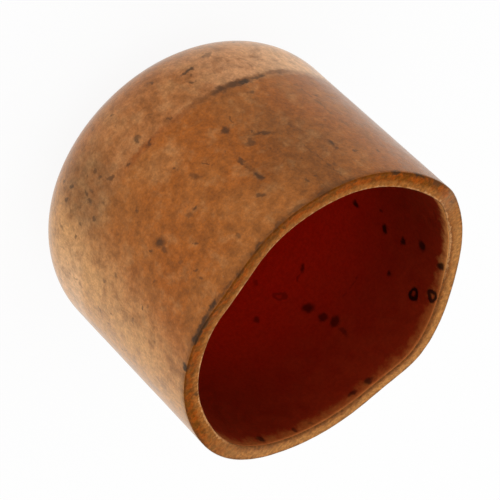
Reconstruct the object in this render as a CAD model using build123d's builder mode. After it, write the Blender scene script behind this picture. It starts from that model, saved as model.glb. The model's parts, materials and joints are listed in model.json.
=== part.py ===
"""Copper tube cap: a one-piece drawn cup that is soldered over the end of a copper tube.

The cup stands on its closed end with its mouth up. The origin is the centre of the closed end, +Z runs
along the axis towards the mouth, and every length is in millimetres.
"""
import math
import os

from build123d import *

# Driving dimensions of the socket and the wall
tube_diameter = 15.875  # outside diameter of the tube that the cap closes, 5/8 inch
solder_gap = 0.06  # gap all round the tube, which the solder fills
wall = 0.90  # thickness of the drawn copper
length = 15.34  # from the closed end to the highest crest of the mouth
corner_radius = 4.15  # outside radius between the closed end and the side wall

# Driving dimensions of the mouth, whose edge rises and falls in the uneven ears that drawing leaves
ear_height = 0.58  # from the lowest dip to the highest crest
inner_chamfer = 0.06  # cone that deburring leaves on the mouth's inner edge
outer_chamfer = 0.05  # broken outer edge of the mouth

# Shape of the ears: directions in degrees from +X, and levels as shares of the ear height
crest_angles = [-2, 104, 190, 287]
crest_levels = [1.00, 0.95, 0.88, 0.62]
dip_angles = [74, 158, 247, 312]
dip_levels = [0.31, 0.00, 0.00, 0.26]
crest_sharpness = 2  # above 1, crests are narrower than dips
points_per_flank = 6  # points that carry the edge from a crest to a dip

# Sizes that follow from the driving dimensions
bore_radius = tube_diameter / 2 + solder_gap
outer_radius = bore_radius + wall
blank_height = length + wall  # the cup before its mouth is cut to the wave
trim_overlap = wall / 2  # how far the trimming surface runs past both sides of the wall


def flank_level(crest, dip, share):
    """Level of the edge at a share of the way down from a crest to a dip."""
    fall = 0.5 + 0.5 * math.cos(math.pi * share)
    return dip + (crest - dip) * fall**crest_sharpness


def mouth_point(radius, angle, level, drop):
    """Point at one radius and direction in degrees, from its level on the wave and a drop below it."""
    turn = math.radians(angle)
    return (radius * math.cos(turn), radius * math.sin(turn), length - ear_height * (1 - level) - drop)


def mouth_curve(radius, drop):
    """Closed smooth curve of the wavy mouth at one radius and drop, down and up from each crest to the next."""
    next_angles = crest_angles[1:] + [crest_angles[0] + 360]
    next_levels = crest_levels[1:] + [crest_levels[0]]
    crests = zip(crest_angles, crest_levels, dip_angles, dip_levels, next_angles, next_levels)
    points = []
    for angle, level, dip_angle, dip_level, next_angle, next_level in crests:
        for step in range(points_per_flank):
            share = step / points_per_flank
            here = angle + (dip_angle - angle) * share
            points.append(mouth_point(radius, here, flank_level(level, dip_level, share), drop))
        for step in range(points_per_flank):
            share = 1 - step / points_per_flank
            here = next_angle + (dip_angle - next_angle) * share
            points.append(mouth_point(radius, here, flank_level(next_level, dip_level, share), drop))
    with BuildLine() as curve:
        Spline(*points, periodic=True)
    return curve.edge()


def trim_mouth(inner_radius, inner_drop, rim_radius, rim_drop):
    """Cuts off what lies above the straight-ruled surface between two of the mouth's curves."""
    surface = Face.make_surface_from_curves(
        mouth_curve(inner_radius, inner_drop),
        mouth_curve(rim_radius, rim_drop),
    )
    extrude(surface, amount=blank_height, dir=(0, 0, 1), mode=Mode.SUBTRACT)


with BuildPart() as tube_cap:
    # Half section of the drawn blank, in the plane of the first crest, turned about the axis
    with BuildSketch(Plane.XZ.rotated((0, 0, crest_angles[0]))):
        with BuildLine():
            outside = FilletPolyline(
                (0, 0),
                (outer_radius, 0),
                (outer_radius, blank_height),
                radius=corner_radius,
            )
            inside = FilletPolyline(
                (bore_radius, blank_height),
                (bore_radius, wall),
                (0, wall),
                radius=corner_radius - wall,
            )
            Line(outside @ 1, inside @ 0)
            Line(inside @ 1, outside @ 0)
        make_face()
    revolve(axis=Axis.Z)

    # The mouth is cut to the wave, then its inner and outer edges are deburred
    trim_mouth(bore_radius - trim_overlap, 0, outer_radius + trim_overlap, 0)
    trim_mouth(
        bore_radius - inner_chamfer,
        2 * inner_chamfer,
        bore_radius + 2 * inner_chamfer,
        -inner_chamfer,
    )
    trim_mouth(
        outer_radius - 2 * outer_chamfer,
        -outer_chamfer,
        outer_radius + outer_chamfer,
        2 * outer_chamfer,
    )

tube_cap.part.label = "tube_cap"
os.makedirs("parts", exist_ok=True)
export_step(tube_cap.part, "parts/tube_cap.step")
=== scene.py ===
"""The look of the copper tube cap.

A dense mesh of the drawn cup, its aged finish with painted light, shade and sheen, a white floor under soft
light, and the camera.
"""
import json
import math
from collections import namedtuple

import bpy
from mathutils import Matrix, Vector, noise
from mathutils.bvhtree import BVHTree


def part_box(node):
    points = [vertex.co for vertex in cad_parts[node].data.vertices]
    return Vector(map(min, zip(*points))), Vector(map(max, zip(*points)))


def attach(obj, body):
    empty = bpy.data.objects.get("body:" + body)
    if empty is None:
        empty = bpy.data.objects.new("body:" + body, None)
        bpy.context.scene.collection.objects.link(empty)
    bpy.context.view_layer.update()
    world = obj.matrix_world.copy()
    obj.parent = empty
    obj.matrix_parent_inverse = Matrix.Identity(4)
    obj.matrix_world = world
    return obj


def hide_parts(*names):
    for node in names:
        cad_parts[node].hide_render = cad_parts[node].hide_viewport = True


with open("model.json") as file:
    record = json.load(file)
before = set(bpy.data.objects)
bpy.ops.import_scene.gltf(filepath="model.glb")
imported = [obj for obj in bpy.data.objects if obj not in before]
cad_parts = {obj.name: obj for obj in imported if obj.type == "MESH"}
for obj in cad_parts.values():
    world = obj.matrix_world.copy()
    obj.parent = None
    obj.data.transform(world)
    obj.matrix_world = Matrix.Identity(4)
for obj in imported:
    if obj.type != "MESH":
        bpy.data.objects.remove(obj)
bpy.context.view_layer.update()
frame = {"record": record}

# Sizes of the cup in metres: the outer ones come from the frame, the others repeat the part's own values
MM = 0.001
node_low, node_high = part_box("tube_cap")
outer_radius = min(node_high.x, node_high.y, -node_low.x, -node_low.y)
bore_radius = frame["record"]["mounts"][0]["dims"]["r_mm"] * MM
wall = outer_radius - bore_radius
crest_height = node_high.z
corner_radius = 4.15 * MM
ear_height = 0.58 * MM
inner_chamfer = 0.06 * MM
outer_chamfer = 0.05 * MM

# The mouth's uneven ears: directions in degrees from +X, and levels as shares of the ear height
crest_angles = [-2, 104, 190, 287]
crest_levels = [1.00, 0.95, 0.88, 0.62]
dip_angles = [74, 158, 247, 312]
dip_levels = [0.31, 0.00, 0.00, 0.26]
crest_sharpness = 2
mouth_height = crest_height - ear_height / 2

# Fineness of the mesh
columns = 360
wall_step = 0.17 * MM
corner_step = 0.17 * MM
flat_step = 0.35 * MM
lip_step = 0.06 * MM

# Unevenness that drawing and handling leave in the surface, always inwards
wall_dents = 0.020 * MM
dent_size = 2.2 * MM
lip_nicks = 0.020 * MM
nick_size = 0.45 * MM

# The camera, as the outline in the photo places it
image_size = 500
focal_pixels = 2440
aim_height = 15.0 * MM
aim_pixel = (329.66, 319.47)
aim_distance = 122.25 * MM
axis_tilt = math.radians(56.19)
axis_turn = math.radians(44.29)
sensor = 36.0
clip_near = 0.01
clip_far = 10

# Height of the ring that the drawing die leaves on the side wall, in millimetres
die_line = 5.88

# Sectors of the outside in degrees from +X: each has a material of its own that holds only the marks near it
sectors = [(-180, -112), (-112, -78), (-78, 180)]
sector_margin = 12

# Width of the band of painted sheen along the inner side of the lip, where its rounded edge catches the
# light, in millimetres
band_width = 0.38

# Colours, as screen values from 0 to 255
WALL_COPPER = (165, 98, 43)
ORANGE_COPPER = (163, 90, 32)
LINE_ORANGE = (140, 68, 18)
SHOULDER_COPPER = (176, 118, 72)
# Painted sheen on the shoulder, and a painted reflection along the cup's outer edges
SHOULDER_SHEEN = (196, 140, 96)
OUTER_EDGE_SHEEN = (228, 184, 142)
# Tan: the copper's own tone in its mottle, and painted light on the +X side
TAN_TONE_AND_LIGHT = (210, 158, 102)
# Brown: the copper's own tone in smears, mottle and the die's ring, and painted shade on the -X side and
# across the middle of the wall
BROWN_TONE_AND_SHADE = (114, 66, 28)
GREY_TARNISH = (116, 88, 56)
SOOT = (60, 42, 28)
PALE_COPPER = (212, 170, 124)
LIP_BROWN = (112, 60, 8)
LIP_ORANGE = (148, 70, 10)
# Painted sheen of the lip's rounded inner edge
INNER_EDGE_SHEEN = (158, 98, 44)
LIP_FAR = (174, 116, 60)
EDGE_BROWN = (100, 56, 22)
MOUTH_BROWN = (122, 62, 18)
RIM_BROWN = (116, 70, 36)
# Brown just under the mouth inside, painted lighter, and a painted highlight on the rim towards -X
LIGHTENED_RIM_BROWN = (186, 104, 44)
RIM_HIGHLIGHT = (250, 180, 98)
LIP_SHINE = (206, 150, 98)
OXIDE_RED = (200, 64, 24)
OXIDE_BROWN = (160, 51, 17)
INSIDE_SOOT = (20, 4, 2)

# A mark: its pixel in the photo, its length and width in millimetres, its turn in the picture, its strength
Mark = namedtuple("Mark", "x y length width turn strength")

# Grey tarnish of the outside, with fine specks in it
TARNISH = Mark(86, 190, 3.8, 3.2, 60, 0.50)

# Soft patches of the outside: mark and colour
PATCHES = [
    # Painted shade across the middle of the wall
    (Mark(300, 148, 6.0, 3.4, 44, 0.45), BROWN_TONE_AND_SHADE),
    (Mark(178, 230, 4.4, 3.2, 40, 0.80), ORANGE_COPPER),
    (Mark(163, 163, 2.2, 1.5, -40, 0.22), TAN_TONE_AND_LIGHT),
    # Painted sheen near the top of the shoulder
    (Mark(184, 60, 2.2, 1.0, -30, 0.40), SHOULDER_SHEEN),
    (Mark(262, 176, 2.0, 1.4, 40, 0.35), BROWN_TONE_AND_SHADE),
    (Mark(270, 84, 2.4, 1.4, -10, 0.40), ORANGE_COPPER),
]

# Soft brown smears of the outside
BROWN_MARKS = [
    Mark(262, 133, 1.10, 0.26, -2, 0.70),
    Mark(251, 142, 0.60, 0.36, 70, 0.60),
    Mark(284, 154, 1.00, 0.28, 20, 0.45),
    Mark(300, 132, 1.60, 0.30, 42, 0.50),
    Mark(328, 141, 1.10, 0.34, 38, 0.65),
    Mark(327, 187, 1.60, 0.46, -28, 0.50),
    Mark(251, 169, 1.40, 0.26, 40, 0.60),
    Mark(230, 86, 1.80, 0.50, -24, 0.70),
    Mark(278, 72, 1.20, 0.22, -6, 0.50),
    Mark(270, 236, 2.60, 0.30, -47, 0.50),
    Mark(160, 243, 0.70, 0.50, 30, 0.60),
    Mark(196, 176, 0.90, 0.24, 8, 0.45),
]

# Dark spots, smears and dashes of the outside
OUTSIDE_MARKS = [
    Mark(188, 71, 0.92, 0.20, -35, 0.80),
    Mark(207, 55, 0.62, 0.26, -25, 0.55),
    Mark(191, 82, 0.42, 0.22, 10, 0.65),
    Mark(219, 90, 0.80, 0.42, -28, 0.55),
    Mark(233, 84, 0.70, 0.44, -20, 0.60),
    Mark(244, 82, 0.60, 0.30, -20, 0.90),
    Mark(257, 77, 0.80, 0.24, -18, 0.60),
    Mark(225, 130, 0.42, 0.40, 0, 0.75),
    Mark(231, 120, 0.55, 0.12, 60, 0.50),
    Mark(251, 92, 0.28, 0.24, 0, 0.50),
    Mark(137, 140, 0.36, 0.36, 0, 0.70),
    Mark(113, 114, 0.18, 0.16, 0, 0.60),
    Mark(149, 115, 0.44, 0.10, -40, 0.35),
    Mark(110, 178, 0.42, 0.20, -10, 0.60),
    Mark(207, 164, 0.64, 0.11, 8, 0.65),
    Mark(241, 161, 0.50, 0.24, 35, 0.70),
    Mark(259, 176, 0.50, 0.34, 35, 0.75),
    Mark(260, 195, 0.46, 0.24, -10, 0.70),
    Mark(250, 143, 0.42, 0.46, 0, 0.45),
    Mark(263, 133, 0.80, 0.14, -5, 0.55),
    Mark(332, 143, 0.62, 0.16, 38, 0.60),
    Mark(337, 148, 0.26, 0.20, 0, 0.55),
    Mark(290, 125, 0.50, 0.16, 40, 0.30),
    Mark(308, 180, 0.26, 0.16, 0, 0.55),
    Mark(315, 176, 0.22, 0.16, 0, 0.50),
    Mark(335, 164, 0.30, 0.24, 0, 0.40),
    Mark(72, 187, 0.34, 0.20, -40, 0.70),
    Mark(64, 181, 0.28, 0.20, -60, 0.60),
    Mark(86, 193, 0.34, 0.22, 60, 0.60),
    Mark(90, 201, 0.38, 0.20, 60, 0.60),
    Mark(67, 200, 0.30, 0.22, -30, 0.60),
    Mark(94, 219, 0.26, 0.20, 0, 0.60),
    Mark(61, 226, 0.26, 0.18, 60, 0.50),
    Mark(137, 210, 0.32, 0.14, 80, 0.55),
    Mark(160, 243, 0.40, 0.30, 0, 0.70),
    Mark(164, 249, 0.34, 0.24, 30, 0.55),
    Mark(195, 244, 0.38, 0.12, 0, 0.65),
    Mark(239, 235, 0.26, 0.22, 0, 0.45),
    Mark(190, 215, 0.36, 0.26, 0, 0.40),
    Mark(193, 177, 0.44, 0.30, 20, 0.35),
    Mark(76, 279, 0.30, 0.10, 0, 0.60),
    Mark(116, 276, 0.30, 0.22, 0, 0.50),
    Mark(104, 281, 0.24, 0.20, 0, 0.45),
    Mark(99, 308, 0.26, 0.12, 60, 0.50),
    Mark(105, 333, 0.22, 0.14, 70, 0.65),
    Mark(122, 349, 0.34, 0.09, 55, 0.85),
    Mark(126, 351, 0.26, 0.09, -55, 0.80),
    Mark(148, 307, 0.24, 0.18, 0, 0.50),
    Mark(109, 324, 0.22, 0.14, 0, 0.45),
    Mark(196, 271, 0.34, 0.14, 20, 0.60),
    Mark(201, 278, 0.30, 0.16, 20, 0.60),
    Mark(154, 281, 0.24, 0.18, 0, 0.45),
    Mark(180, 262, 0.24, 0.18, 0, 0.45),
    Mark(133, 321, 0.26, 0.20, 0, 0.40),
    Mark(323, 160, 5.40, 0.09, 39, 0.40),
    Mark(324, 107, 3.60, 0.12, 39, 0.40),
    Mark(180, 409, 0.30, 0.14, 60, 0.40),
]

# Dark marks along the outer edge of the mouth
EDGE_MARKS = [
    Mark(213, 305, 0.60, 0.36, -60, 0.90),
    Mark(202, 326, 1.60, 0.34, -62, 0.85),
    Mark(195, 339, 0.60, 0.40, -62, 0.95),
    Mark(185, 367, 0.40, 0.34, -75, 0.95),
    Mark(226, 288, 1.30, 0.16, -55, 0.45),
    Mark(240, 273, 0.70, 0.20, -53, 0.60),
    Mark(259, 246, 0.90, 0.18, -50, 0.55),
    Mark(278, 225, 0.90, 0.20, -45, 0.40),
    Mark(298, 208, 0.90, 0.22, -38, 0.40),
    Mark(323, 193, 0.80, 0.26, -30, 0.45),
    Mark(347, 181, 0.80, 0.16, -22, 0.45),
    Mark(396, 172, 0.60, 0.22, 5, 0.80),
    Mark(419, 175, 0.60, 0.22, 15, 0.80),
    Mark(437, 183, 0.70, 0.20, 30, 0.60),
    Mark(453, 201, 0.60, 0.22, 55, 0.60),
]

# Dirt on the flat of the lip
LIP_MARKS = [
    Mark(196, 394, 0.34, 0.26, 0, 0.60),
]

# Soot spots and rings on the red inside
INSIDE_MARKS = [
    Mark(356, 204, 0.50, 0.30, 40, 0.90),
    Mark(381, 211, 0.24, 0.16, 0, 0.55),
    Mark(385, 229, 0.36, 0.48, 0, 0.90),
    Mark(403, 241, 0.30, 0.42, 0, 0.85),
    Mark(422, 246, 0.50, 0.60, 0, 0.85),
    Mark(441, 266, 0.50, 0.36, 0, 0.90),
    Mark(389, 273, 0.30, 0.30, 0, 0.80),
    Mark(302, 268, 0.24, 0.42, 0, 0.70),
    Mark(299, 277, 0.16, 0.48, 10, 0.40),
    Mark(349, 288, 1.70, 0.12, -50, 0.35),
    Mark(255, 283, 0.26, 0.40, 0, 0.35),
    Mark(308, 308, 0.64, 0.46, 0, 0.75),
    Mark(322, 317, 0.60, 0.40, 20, 0.70),
    Mark(335, 321, 0.48, 0.62, 30, 0.70),
    Mark(344, 331, 0.66, 0.26, 40, 0.45),
    Mark(256, 319, 0.36, 0.40, 0, 0.60),
    Mark(368, 381, 0.50, 0.36, -30, 0.75),
    Mark(353, 393, 0.44, 0.24, -30, 0.65),
    Mark(294, 430, 0.26, 0.24, 0, 0.60),
    Mark(261, 439, 0.46, 0.44, 0, 0.75),
    Mark(310, 423, 0.22, 0.20, 0, 0.40),
]
INSIDE_RINGS = [
    Mark(414, 294, 0.66, 0.70, 0, 0.95),
    Mark(432, 296, 0.62, 0.62, 0, 0.90),
    Mark(279, 296, 0.90, 0.50, 10, 0.40),
]


def flank_level(crest, dip, share):
    """Level of the mouth's edge at a share of the way down from a crest to a dip."""
    fall = 0.5 + 0.5 * math.cos(math.pi * share)
    return dip + (crest - dip) * fall**crest_sharpness


def mouth_rise(degrees):
    """Height of the mouth's edge above its mean height, in one direction round the axis."""
    level = 0
    for i, dip in enumerate(dip_angles):
        after = (i + 1) % len(crest_angles)
        for crest, top in ((crest_angles[i], crest_levels[i]), (crest_angles[after], crest_levels[after])):
            span = (dip - crest + 180) % 360 - 180
            share = ((degrees - crest + 180) % 360 - 180) / span
            if 0 <= share <= 1:
                level = flank_level(top, dip_levels[i], share)
    return crest_height - ear_height * (1 - level) - mouth_height


def run(start, end, step):
    """Points of a straight stretch of the section, without its first point."""
    count = max(1, round(math.dist(start, end) / step))
    shares = [i / count for i in range(1, count + 1)]
    return [(start[0] + (end[0] - start[0]) * s, start[1] + (end[1] - start[1]) * s) for s in shares]


def arc(centre, radius, first, last, step):
    """Points of an arc of the section between two angles, without its first point."""
    count = max(2, round(radius * abs(last - first) / step))
    angles = [first + (last - first) * i / count for i in range(1, count + 1)]
    return [(centre[0] + radius * math.cos(a), centre[1] + radius * math.sin(a)) for a in angles]


def section_outside():
    """Half section from the closed end's centre up to the mouth's outer edge."""
    foot = outer_radius - corner_radius
    points = run((0, 0), (foot, 0), flat_step)
    points += arc((foot, corner_radius), corner_radius, -math.pi / 2, 0, corner_step)
    points += run((outer_radius, corner_radius), (outer_radius, mouth_height - outer_chamfer), wall_step)
    return points


def section_lip():
    """Half section across the mouth's edge, with its two chamfers."""
    corners = [
        (outer_radius, mouth_height - outer_chamfer),
        (outer_radius - outer_chamfer, mouth_height),
        (bore_radius + inner_chamfer, mouth_height),
        (bore_radius, mouth_height - inner_chamfer),
    ]
    points = []
    for start, end in zip(corners, corners[1:]):
        points += run(start, end, lip_step)
    return points


def section_inside():
    """Half section from the mouth's inner edge down to the floor, short of its centre."""
    foot = outer_radius - corner_radius
    points = run((bore_radius, mouth_height - inner_chamfer), (bore_radius, corner_radius), wall_step)
    points += arc((foot, corner_radius), corner_radius - wall, 0, -math.pi / 2, corner_step)
    points += run((foot, wall), (0, wall), flat_step)
    return points[:-1]


def dented(radius, angle, height, outside):
    """A point of the surface, pushed a little into the copper by shallow dents and nicks in the mouth."""
    place = Vector((radius * math.cos(angle), radius * math.sin(angle), height))
    lift = max(0, (height - corner_radius) / (mouth_height - corner_radius))
    place.z += mouth_rise(math.degrees(angle)) * lift
    if radius == 0 or height <= 0:
        return place
    dent = wall_dents * (0.5 + 0.5 * noise.noise(place / dent_size))
    side = -1 if outside else 1
    around = Vector((math.cos(angle), math.sin(angle), 0))
    place += around * dent * side
    if height > mouth_height - wall / 2:
        near = (height - mouth_height + wall / 2) / (wall / 2)
        place.z -= near * lip_nicks * (0.5 + 0.5 * noise.noise(place / nick_size))
    return place


def sector_at(column):
    """Number of the sector in which a column of faces lies."""
    degrees = (360 * (column + 0.5) / columns + 180) % 360 - 180
    return [low <= degrees < high for low, high in sectors].index(True)


def build_cup():
    """Dense turned mesh of the cup, with material slots for the outside's sectors, the lip and the inside."""
    outside = section_outside()
    lip = section_lip()
    inside = section_inside()
    section = outside + lip + inside
    vertices = [Vector((0, 0, 0))]
    depths = [mouth_height]
    middle = len(outside) + len(lip) // 2
    for row, (radius, height) in enumerate(section):
        for column in range(columns):
            angle = 2 * math.pi * column / columns
            vertices.append(dented(radius, angle, height, row < middle))
            depths.append(mouth_height - height)
    vertices.append(Vector((0, 0, wall)))
    depths.append(mouth_height - wall)

    lip_slot = len(sectors)
    inside_slot = lip_slot + 1
    faces = []
    slots = []
    for column in range(columns):
        faces.append((0, 1 + (column + 1) % columns, 1 + column))
        slots.append(sector_at(column))
    for row in range(len(section) - 1):
        low = 1 + row * columns
        high = low + columns
        for column in range(columns):
            after = (column + 1) % columns
            faces.append((low + column, low + after, high + after, high + column))
            if row < len(outside) - 1:
                slots.append(sector_at(column))
            elif row < len(outside) + len(lip) - 1:
                slots.append(lip_slot)
            else:
                slots.append(inside_slot)
    top = 1 + (len(section) - 1) * columns
    last = len(vertices) - 1
    for column in range(columns):
        faces.append((top + column, top + (column + 1) % columns, last))
        slots.append(inside_slot)

    mesh = bpy.data.meshes.new("copper_cup")
    mesh.from_pydata(vertices, [], faces)
    mesh.polygons.foreach_set("material_index", slots)
    mesh.polygons.foreach_set("use_smooth", [True] * len(faces))
    depth = mesh.attributes.new("depth", "FLOAT", "POINT")
    depth.data.foreach_set("value", [d / MM for d in depths])
    mesh.update()
    cup = bpy.data.objects.new("copper_cup", mesh)
    bpy.context.scene.collection.objects.link(cup)
    return cup


def view_axes():
    """The cap's axes in the camera's frame of right, down and forward, as the rows of a matrix."""
    up = Vector((
        math.sin(axis_tilt) * math.cos(axis_turn),
        math.sin(axis_tilt) * math.sin(axis_turn),
        -math.cos(axis_tilt),
    ))
    across = Vector((math.sin(axis_turn), -math.cos(axis_turn), 0))
    return Matrix((-across, -up.cross(across), up))


def sight(x, y):
    """Line of sight through a pixel, in the cap's frame."""
    centre = image_size / 2
    return view_axes() @ Vector(((x - centre) / focal_pixels, (y - centre) / focal_pixels, 1))


camera_place = Vector((0, 0, aim_height)) - sight(*aim_pixel) * aim_distance


def place_camera():
    """Camera that sees a point of the axis at its pixel, with the axis turned as in the photo."""
    turned = view_axes() @ Matrix.Diagonal((1, -1, -1))
    data = bpy.data.cameras.new("camera")
    data.sensor_width = sensor
    data.lens = sensor * focal_pixels / image_size
    data.clip_start = clip_near
    data.clip_end = clip_far
    camera = bpy.data.objects.new("camera", data)
    camera.matrix_world = Matrix.Translation(camera_place) @ turned.to_4x4()
    bpy.context.scene.collection.objects.link(camera)
    bpy.context.scene.camera = camera


def linear(colour):
    """A colour from screen values, as the shaders take it."""
    shares = [c / 255 for c in colour]
    return tuple(s / 12.92 if s <= 0.04045 else ((s + 0.055) / 1.055) ** 2.4 for s in shares) + (1,)


# How marks fade: spots and rings by shares of half their width, specks by a share of their size
spot_fade = (1.6, 0.6)
ring_middle = 0.72
ring_fade = (0.55, 0.15)
speck_core = 0.35
smallest_speck = 0.0001

# Noise: its mean in each channel, and the detail of the noise that shifts marks
noise_mean = (0.5, 0.5, 0.5)
warp_detail = 3

# A pattern of specks: the spacing and the largest size in millimetres, and the share of cells that hold one
Specks = namedtuple("Specks", "spacing largest share")


class Finish:
    """One material, with short calls for the nodes that the finishes share. Lengths in it are millimetres."""

    def __init__(self, name):
        self.material = bpy.data.materials.new(name)
        self.material.use_nodes = True
        self.tree = self.material.node_tree
        self.shader = self.tree.nodes["Principled BSDF"]
        place = self.add("ShaderNodeTexCoord").outputs["Object"]
        self.place = self.vector("SCALE", place, scale=1 / MM)

    def add(self, kind, **settings):
        """A new node with its settings."""
        node = self.tree.nodes.new(kind)
        for name, value in settings.items():
            setattr(node, name, value)
        return node

    def feed(self, socket, value):
        """Links another node's output to a socket, or sets the socket to a plain value."""
        if isinstance(value, bpy.types.NodeSocket):
            self.tree.links.new(value, socket)
        else:
            socket.default_value = value

    def dress(self, settings):
        """Feeds the shader's own inputs, by their names."""
        for name, value in settings.items():
            self.feed(self.shader.inputs[name], value)

    def vector(self, operation, first, second=None, scale=None):
        """One step of vector arithmetic."""
        node = self.add("ShaderNodeVectorMath", operation=operation)
        self.feed(node.inputs[0], first)
        if second is not None:
            self.feed(node.inputs[1], second)
        if scale is not None:
            self.feed(node.inputs["Scale"], scale)
        return node.outputs["Value"] if operation == "LENGTH" else node.outputs["Vector"]

    def number(self, operation, first, second=None):
        """One step of arithmetic."""
        node = self.add("ShaderNodeMath", operation=operation)
        self.feed(node.inputs[0], first)
        if second is not None:
            self.feed(node.inputs[1], second)
        return node.outputs["Value"]

    def times(self, first, second):
        """Product of two numbers."""
        return self.number("MULTIPLY", first, second)

    def axes(self, place):
        """The three coordinates of a place."""
        parts = self.add("ShaderNodeSeparateXYZ")
        self.feed(parts.inputs[0], place)
        return parts.outputs["X"], parts.outputs["Y"], parts.outputs["Z"]

    def depth(self):
        """Depth below the mouth."""
        return self.add("ShaderNodeAttribute", attribute_name="depth").outputs["Fac"]

    def ramp(self, value, low, high, start=0.0, end=1.0):
        """Smooth step from start at low to end at high."""
        node = self.add("ShaderNodeMapRange", interpolation_type="SMOOTHSTEP")
        entries = {"Value": value, "From Min": low, "From Max": high, "To Min": start, "To Max": end}
        for name, entry in entries.items():
            self.feed(node.inputs[name], entry)
        return node.outputs["Result"]

    def grain(self, size, detail=4, roughness=0.6):
        """Noise from 0 to 1 with features of about one size."""
        node = self.add("ShaderNodeTexNoise", noise_dimensions="3D")
        self.feed(node.inputs["Vector"], self.place)
        self.feed(node.inputs["Scale"], 1 / size)
        self.feed(node.inputs["Detail"], detail)
        self.feed(node.inputs["Roughness"], roughness)
        return node.outputs["Fac"]

    def warped(self, size, reach):
        """The place, shifted by noise, so that marks get uneven edges."""
        node = self.add("ShaderNodeTexNoise", noise_dimensions="3D")
        self.feed(node.inputs["Vector"], self.place)
        self.feed(node.inputs["Scale"], 1 / size)
        self.feed(node.inputs["Detail"], warp_detail)
        shift = self.vector("SUBTRACT", node.outputs["Color"], noise_mean)
        return self.vector("ADD", self.place, self.vector("SCALE", shift, scale=reach))

    def specks(self, pattern, place):
        """Round specks of many sizes, on a share of the cells of a random pattern."""
        node = self.add("ShaderNodeTexVoronoi", feature="F1")
        self.feed(node.inputs["Vector"], place)
        self.feed(node.inputs["Scale"], 1 / pattern.spacing)
        parts = self.add("ShaderNodeSeparateColor")
        self.feed(parts.inputs[0], node.outputs["Color"])
        largest = pattern.largest / pattern.spacing
        size = self.ramp(parts.outputs["Red"], 1 - pattern.share, 1, 0, largest)
        inner = self.times(size, speck_core)
        edge = self.number("ADD", size, smallest_speck)
        return self.ramp(node.outputs["Distance"], edge, inner)

    def mix(self, share, first, second, blend="MIX"):
        """Mix of two colours."""
        node = self.add("ShaderNodeMix", data_type="RGBA", blend_type=blend)
        self.feed(node.inputs["Factor"], share)
        self.feed(node.inputs[6], first)
        self.feed(node.inputs[7], second)
        return node.outputs[2]

    def shade(self, base, share, colour):
        """The base with a share of it covered by a colour."""
        return self.mix(share, base, linear(colour))

    def mottled(self, base, grain, spread, light):
        """The base made darker and lighter by a noise."""
        return self.mix(1.0, base, self.ramp(grain, *spread, *light), "MULTIPLY")

    def spot(self, mark, place, surface, ring=False):
        """Strength of one mark, as an egg shape that lies in the surface under its pixel."""
        point = surface(mark.x, mark.y)
        turn = math.radians(mark.turn)
        ahead = surface(mark.x + math.cos(turn), mark.y + math.sin(turn))
        away = self.vector("SUBTRACT", place, point / MM)
        along = self.vector("PROJECT", away, (ahead - point).normalized())
        shrink = mark.width / mark.length - 1
        node = self.add("ShaderNodeVectorMath", operation="MULTIPLY_ADD")
        self.feed(node.inputs[0], along)
        self.feed(node.inputs[1], (shrink, shrink, shrink))
        self.feed(node.inputs[2], away)
        distance = self.vector("LENGTH", node.outputs["Vector"])
        half = mark.width / 2
        fade = spot_fade
        if ring:
            distance = self.number("ABSOLUTE", self.number("SUBTRACT", distance, ring_middle * half))
            fade = ring_fade
        return self.ramp(distance, fade[0] * half, fade[1] * half, 0, mark.strength)

    def spots(self, marks, place, surface, ring=False):
        """Strength of the strongest of several marks."""
        total = 0.0
        for mark in marks:
            total = self.number("MAXIMUM", self.spot(mark, place, surface, ring), total)
        return total

    def relief(self, height, depth):
        """Feeds the shader a fine relief of one depth."""
        node = self.add("ShaderNodeBump")
        self.feed(node.inputs["Strength"], 1.0)
        self.feed(node.inputs["Distance"], depth * MM)
        self.feed(node.inputs["Height"], height)
        self.feed(self.shader.inputs["Normal"], node.outputs["Normal"])


def surface_under(cup):
    """A function that gives the point of the cup under a pixel of the photo."""
    tree = BVHTree.FromPolygons([v.co for v in cup.data.vertices], [p.vertices for p in cup.data.polygons])

    def under(x, y):
        return tree.ray_cast(camera_place, sight(x, y).normalized())[0]

    return under


def marks_near(marks, surface, sector):
    """The marks that lie in a sector of the outside or close to it."""
    low, high = sector
    near = []
    for mark in marks:
        point = surface(mark.x, mark.y)
        if low - sector_margin < math.degrees(math.atan2(point.y, point.x)) < high + sector_margin:
            near.append(mark)
    return near


# Noises of the outside: sizes in millimetres, the shift of the marks, and the noises' low and high values
broad_size = 3.5
mottle_size = 0.9
cloud_size = 0.42
fine_size = 0.13
outside_warp = (0.30, 0.50)
broad_spread = (0.40, 0.60)
mottle_spread = (0.38, 0.60)
pale_mottle = (0.48, 0.70)
brown_mottle = (0.52, 0.32)
cloud_spread = (0.32, 0.68)
fine_spread = (0.32, 0.68)
rough_spread = (0.36, 0.52)
gloss_spread = (0.35, 0.65)

# Painted light and shade of the outside, and the copper's own tones: where each starts and is full, in
# millimetres, and how much of the copper it covers
shade_side = (-1.5, -5.5)
shade_share = 0.30
shoulder_fade = (0.45, -0.30)
shoulder_share = 0.60
sheen_side = (-3.0, -6.0)
lit_side = (2.8, 6.5)
lit_share = 0.95
lit_lean = 0.15
outer_sheen_side = (5.8, 8.6)
outer_sheen_share = 0.80
faced_away = (4.0, -2.0)
faced_least = 0.25
sheen_away = (3.0, -1.5)
uneven_least = 0.75
pale_mottle_share = 0.22
brown_mottle_share = 0.45
cloud_light = (0.82, 1.16)
fine_light = (0.85, 1.13)

# Ring of the drawing die: its half width, its cover, where it ends and where its colour turns, in millimetres
line_half = (0.30, 0.04)
line_spread = (0.38, 0.54)
line_cover = (0.20, 0.62)
line_end = (2.4, 0.6)
line_turn = (-3.5, -1.5)

# Brown along the mouth's outer edge: its depth below the mouth in millimetres, and its cover
edge_depth = (0.60, 0.05)
edge_cover = (0.22, 0.60)

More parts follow.
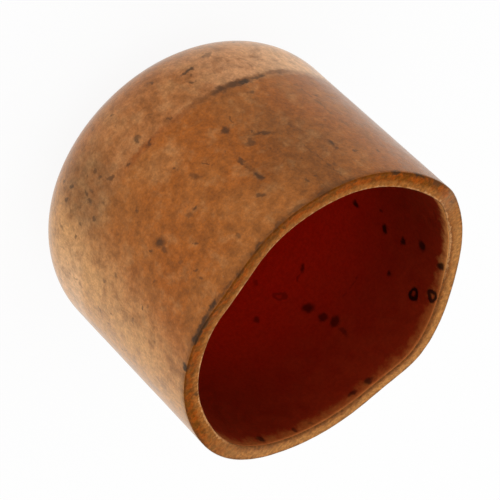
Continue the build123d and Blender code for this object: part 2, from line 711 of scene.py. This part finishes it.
# Specks and flecks of the outside
soot_specks = Specks(0.75, 0.19, 0.30)
soot_share = 0.65
tarnish_specks = Specks(0.42, 0.20, 0.60)
pale_flecks = Specks(1.10, 0.10, 0.20)
fleck_share = 0.40
soot_least = 0.80

# Gloss of the outside: bare copper under a thin film
outside_roughness = (0.30, 0.42)
outside_tint = (1.0, 0.88, 0.74, 1.0)
film_weight = 0.4
film_ior = 1.33
film_roughness = 0.12
outside_relief = 0.013


def outside_finish(surface, sector):
    """Bare copper, browned and mottled with age and handling, with soot in its scratches, painted shade on
    its -X side, painted light on its +X side and painted sheen on its shoulder and outer edges.
    """
    finish = Finish("aged_outside_and_painted_light")
    broad = finish.grain(broad_size, detail=3)
    mottle = finish.grain(mottle_size, detail=5)
    cloud = finish.grain(cloud_size, roughness=0.65)
    fine = finish.grain(fine_size, roughness=0.7)
    loose = finish.warped(*outside_warp)
    side, away, up = finish.axes(loose)
    lean = finish.number("SUBTRACT", side, finish.times(up, lit_lean))
    faced = finish.ramp(away, *faced_away, faced_least, 1.0)

    # Broad colours: painted shade on the -X side, the shoulder's own tone below the die's ring, painted sheen
    # on the shoulder and its outer edges, painted light on the +X side, and tarnish and patches
    base = finish.mix(finish.ramp(broad, *broad_spread), linear(ORANGE_COPPER), linear(WALL_COPPER))
    uneven = finish.ramp(mottle, *mottle_spread, uneven_least, 1.0)
    shoulder = finish.ramp(up, die_line + shoulder_fade[0], die_line + shoulder_fade[1])
    # Painted sheen on the shoulder towards -Y, and a painted reflection along its outer edges far out to
    # either side
    sheen_zone = finish.times(shoulder, finish.ramp(away, *sheen_away))
    outer_sheen_mask = finish.ramp(finish.number("ABSOLUTE", side), *outer_sheen_side, 0, outer_sheen_share)
    tarnish = finish.spot(TARNISH, loose, surface)
    light_shade_and_tones = [
        # painted shade on the -X side
        (finish.ramp(side, *shade_side, 0, shade_share), BROWN_TONE_AND_SHADE),
        (finish.times(shoulder, shoulder_share), SHOULDER_COPPER),
        (finish.times(sheen_zone, finish.ramp(side, *sheen_side)), SHOULDER_SHEEN),
        # painted light on the +X side, strongest towards -Y
        (finish.times(finish.ramp(lean, *lit_side, 0, lit_share), faced), TAN_TONE_AND_LIGHT),
        (finish.times(sheen_zone, outer_sheen_mask), OUTER_EDGE_SHEEN),
        (tarnish, GREY_TARNISH),
    ]
    light_shade_and_tones += [(finish.spot(mark, loose, surface), colour) for mark, colour in PATCHES]
    for share, colour in light_shade_and_tones:
        base = finish.shade(base, finish.times(share, uneven), colour)
    base = finish.shade(base, finish.ramp(mottle, *pale_mottle, 0, pale_mottle_share), TAN_TONE_AND_LIGHT)
    base = finish.shade(base, finish.ramp(mottle, *brown_mottle, 0, brown_mottle_share), BROWN_TONE_AND_SHADE)

    # The die's ring and the brown along the mouth
    from_line = finish.number("ABSOLUTE", finish.number("SUBTRACT", up, die_line))
    line = finish.ramp(from_line, *line_half)
    line = finish.times(line, finish.ramp(broad, *line_spread, *line_cover))
    line = finish.times(line, finish.ramp(side, *line_end))
    line_colour = finish.mix(finish.ramp(side, *line_turn), linear(BROWN_TONE_AND_SHADE), linear(LINE_ORANGE))
    base = finish.mix(line, base, line_colour)
    edge = finish.times(
        finish.ramp(finish.depth(), *edge_depth),
        finish.ramp(mottle, *mottle_spread, *edge_cover),
    )
    base = finish.shade(base, edge, EDGE_BROWN)

    # Smears, fine mottle, specks and dark marks
    smears = finish.spots(marks_near(BROWN_MARKS, surface, sector), loose, surface)
    base = finish.shade(base, smears, BROWN_TONE_AND_SHADE)
    base = finish.mottled(base, cloud, cloud_spread, cloud_light)
    base = finish.mottled(base, fine, fine_spread, fine_light)
    rough = finish.ramp(fine, *rough_spread, soot_least, 1.0)
    specks = finish.times(finish.specks(soot_specks, loose), rough)
    base = finish.shade(base, finish.times(specks, soot_share), SOOT)
    base = finish.shade(base, finish.times(finish.specks(tarnish_specks, loose), tarnish), SOOT)
    base = finish.shade(base, finish.times(finish.specks(pale_flecks, loose), fleck_share), PALE_COPPER)
    marks = finish.spots(marks_near(OUTSIDE_MARKS + EDGE_MARKS, surface, sector), loose, surface)
    base = finish.shade(base, finish.times(marks, rough), SOOT)

    finish.dress({
        "Base Color": base,
        "Metallic": 1.0,
        "Roughness": finish.ramp(mottle, *gloss_spread, *outside_roughness),
        "Specular Tint": outside_tint,
        "Coat Weight": film_weight,
        "Coat IOR": film_ior,
        "Coat Roughness": film_roughness,
    })
    finish.relief(fine, outside_relief)
    return finish.material


# Noises of the lip: sizes in millimetres, the shift of the marks, and the noises' low and high values
lip_mottle_size = 0.5
lip_fine_size = 0.12
streak_size = 0.22
lip_warp = (0.28, 0.45)
lip_orange_spread = (0.40, 0.60)
lip_fine_spread = (0.30, 0.70)
lip_fine_light = (0.82, 1.16)
streak_spread = (0.34, 0.66)
streak_light = (0.76, 1.22)

# Bands of the lip, among them painted sheen and a painted highlight along its inner edge: where each starts
# and is full, in millimetres from the band of painted sheen or an edge of the lip
sheen_band_fade = (0.15, -0.15)
sheen_band_share = 0.85
far_side = (-3.0, 5.0)
far_brown = (0.10, -0.30)
far_brown_share = 0.9
far_rim = (-0.20, -0.32)
lip_edge = (-0.20, -0.04)
lip_edge_cover = (0.25, 0.9)
shine_fade = (0.14, 0.06)
shine_share = 0.7
shine_near = (0.6, 0.2)
shine_side = (-5.0, -7.0)

# Gloss of the lip
lip_roughness = (0.30, 0.45)
lip_tint = (1.0, 0.85, 0.70, 1.0)
lip_relief = 0.015


def lip_finish(surface):
    """Trimmed edge of the mouth: orange copper, brown at its outer edge, with painted sheen along its inner
    one and a painted highlight on the inner edge.
    """
    finish = Finish("lip_and_painted_sheen")
    mottle = finish.grain(lip_mottle_size, detail=5, roughness=0.65)
    fine = finish.grain(lip_fine_size, roughness=0.7)
    streaks = finish.grain(streak_size, detail=3)
    loose = finish.warped(*lip_warp)
    radius = finish.vector("LENGTH", finish.vector("MULTIPLY", loose, (1, 1, 0)))
    side, away, _ = finish.axes(finish.place)
    far = finish.ramp(away, *far_side)
    inner = bore_radius / MM
    outer = outer_radius / MM
    band = inner + band_width

    near = finish.mix(finish.ramp(mottle, *lip_orange_spread), linear(LIP_BROWN), linear(LIP_ORANGE))
    # Painted sheen along the inner edge of the lip
    sheen_band = finish.ramp(radius, band + sheen_band_fade[0], band + sheen_band_fade[1])
    near = finish.shade(near, finish.times(sheen_band, sheen_band_share), INNER_EDGE_SHEEN)
    brown = finish.ramp(radius, band + far_brown[0], band + far_brown[1], 0, far_brown_share)
    beyond = finish.mix(brown, linear(LIP_FAR), linear(MOUTH_BROWN))
    beyond = finish.shade(beyond, finish.ramp(radius, band + far_rim[0], band + far_rim[1]), RIM_BROWN)
    base = finish.mix(far, near, beyond)

    edge = finish.ramp(radius, outer + lip_edge[0], outer + lip_edge[1])
    edge = finish.times(edge, finish.ramp(mottle, *mottle_spread, *lip_edge_cover))
    base = finish.shade(base, edge, EDGE_BROWN)
    lit = finish.number("MAXIMUM", finish.ramp(far, *shine_near), finish.ramp(side, *shine_side))
    shine = finish.ramp(radius, inner + shine_fade[0], inner + shine_fade[1])
    base = finish.shade(base, finish.times(shine, finish.times(lit, shine_share)), LIP_SHINE)

    base = finish.mottled(base, fine, lip_fine_spread, lip_fine_light)
    base = finish.mottled(base, streaks, streak_spread, streak_light)
    base = finish.shade(base, finish.spots(EDGE_MARKS + LIP_MARKS, loose, surface), SOOT)
    finish.dress({
        "Base Color": base,
        "Metallic": 1.0,
        "Roughness": finish.ramp(mottle, *gloss_spread, *lip_roughness),
        "Specular Tint": lip_tint,
    })
    finish.relief(fine, lip_relief)
    return finish.material


# Noises of the inside: sizes in millimetres, the shift of the marks, and the noises' low and high values
inside_mottle_size = 0.7
inside_fine_size = 0.18
inside_warp = (0.60, 0.50)
inside_spread = (0.30, 0.70)
inside_light = (0.88, 1.12)

# Zones of the inside, in millimetres below the mouth and along X
zone_shift = (-0.25, 0.25)
red_depth = (3.0, 10.0)
rim_depth = (0.90, 0.10)
# where the rim's colour turns to a painted highlight, along X
highlight_side = (-4.5, -7.5)
metal_depth = (0.1, 0.9)
metal_share = (0.62, 0.90)

# Gloss of the inside
inside_roughness = (0.42, 0.55)
inside_relief = 0.003


def inside_finish(surface):
    """Red oxide inside, browner just under the mouth and painted lighter there, with a painted highlight on
    the rim towards -X, and soot spots and rings.
    """
    finish = Finish("red_inside")
    mottle = finish.grain(inside_mottle_size, detail=5)
    fine = finish.grain(inside_fine_size, roughness=0.7)
    loose = finish.warped(*inside_warp)
    side, _, _ = finish.axes(loose)
    reach = finish.number("ADD", finish.depth(), finish.ramp(mottle, *inside_spread, *zone_shift))

    # The rim's brown, painted lighter, turns to a painted highlight towards -X
    rim = finish.mix(finish.ramp(side, *highlight_side), linear(LIGHTENED_RIM_BROWN), linear(RIM_HIGHLIGHT))
    base = finish.mix(finish.ramp(reach, *red_depth), linear(OXIDE_BROWN), linear(OXIDE_RED))
    base = finish.mix(finish.ramp(reach, *rim_depth), base, rim)
    base = finish.mottled(base, fine, inside_spread, inside_light)
    marks = finish.spots(INSIDE_MARKS, loose, surface)
    rings = finish.spots(INSIDE_RINGS, loose, surface, ring=True)
    base = finish.shade(base, finish.number("MAXIMUM", marks, rings), INSIDE_SOOT)
    finish.dress({
        "Base Color": base,
        "Metallic": finish.ramp(reach, *metal_depth, *metal_share),
        "Roughness": finish.ramp(mottle, *inside_spread, *inside_roughness),
    })
    finish.relief(fine, inside_relief)
    return finish.material


# The floor shows white to the camera and to reflections, and keeps a soft shadow
floor_half = 1.5
floor_white = 0.92
floor_grey = (0.9, 0.9, 0.9, 1)


def build_floor():
    """Wide flat floor that mixes a plain white glow with a matt surface."""
    mesh = bpy.data.meshes.new("floor")
    signs = [(-1, -1), (1, -1), (1, 1), (-1, 1)]
    corners = [(floor_half * x, floor_half * y, 0) for x, y in signs]
    mesh.from_pydata(corners, [], [(0, 1, 2, 3)])
    floor = bpy.data.objects.new("floor", mesh)
    bpy.context.scene.collection.objects.link(floor)
    material = bpy.data.materials.new("floor_white")
    material.use_nodes = True
    nodes = material.node_tree.nodes
    links = material.node_tree.links
    nodes.clear()
    share = nodes.new("ShaderNodeMath")
    share.operation = "MULTIPLY"
    share.inputs[1].default_value = floor_white
    links.new(seen_rays(material.node_tree), share.inputs[0])
    matt = nodes.new("ShaderNodeBsdfDiffuse")
    matt.inputs["Color"].default_value = floor_grey
    glow = nodes.new("ShaderNodeEmission")
    mix = nodes.new("ShaderNodeMixShader")
    links.new(share.outputs[0], mix.inputs[0])
    links.new(matt.outputs[0], mix.inputs[1])
    links.new(glow.outputs[0], mix.inputs[2])
    out = nodes.new("ShaderNodeOutputMaterial")
    links.new(mix.outputs[0], out.inputs["Surface"])
    floor.data.materials.append(material)


def seen_rays(tree):
    """1 for rays from the camera, off gloss and through glass, and 0 for the light that falls on things."""
    path = tree.nodes.new("ShaderNodeLightPath")
    total = path.outputs["Is Camera Ray"]
    for name in ("Is Glossy Ray", "Is Transmission Ray"):
        most = tree.nodes.new("ShaderNodeMath")
        most.operation = "MAXIMUM"
        tree.links.new(total, most.inputs[0])
        tree.links.new(path.outputs[name], most.inputs[1])
        total = most.outputs[0]
    return total


def build_world():
    """Even white light from all round."""
    world = bpy.data.worlds.new("surround")
    bpy.context.scene.world = world
    world.use_nodes = True
    background = world.node_tree.nodes["Background"]
    background.inputs["Color"].default_value = (1, 1, 1, 1)
    background.inputs["Strength"].default_value = 1.0


cup = build_cup()
surface = surface_under(cup)
for sector in sectors:
    cup.data.materials.append(outside_finish(surface, sector))
cup.data.materials.append(lip_finish(surface))
cup.data.materials.append(inside_finish(surface))
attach(cup, "root")
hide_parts("tube_cap")
build_floor()
build_world()
place_camera()
bpy.context.scene.view_settings.view_transform = "Standard"

bpy.context.view_layer.update()
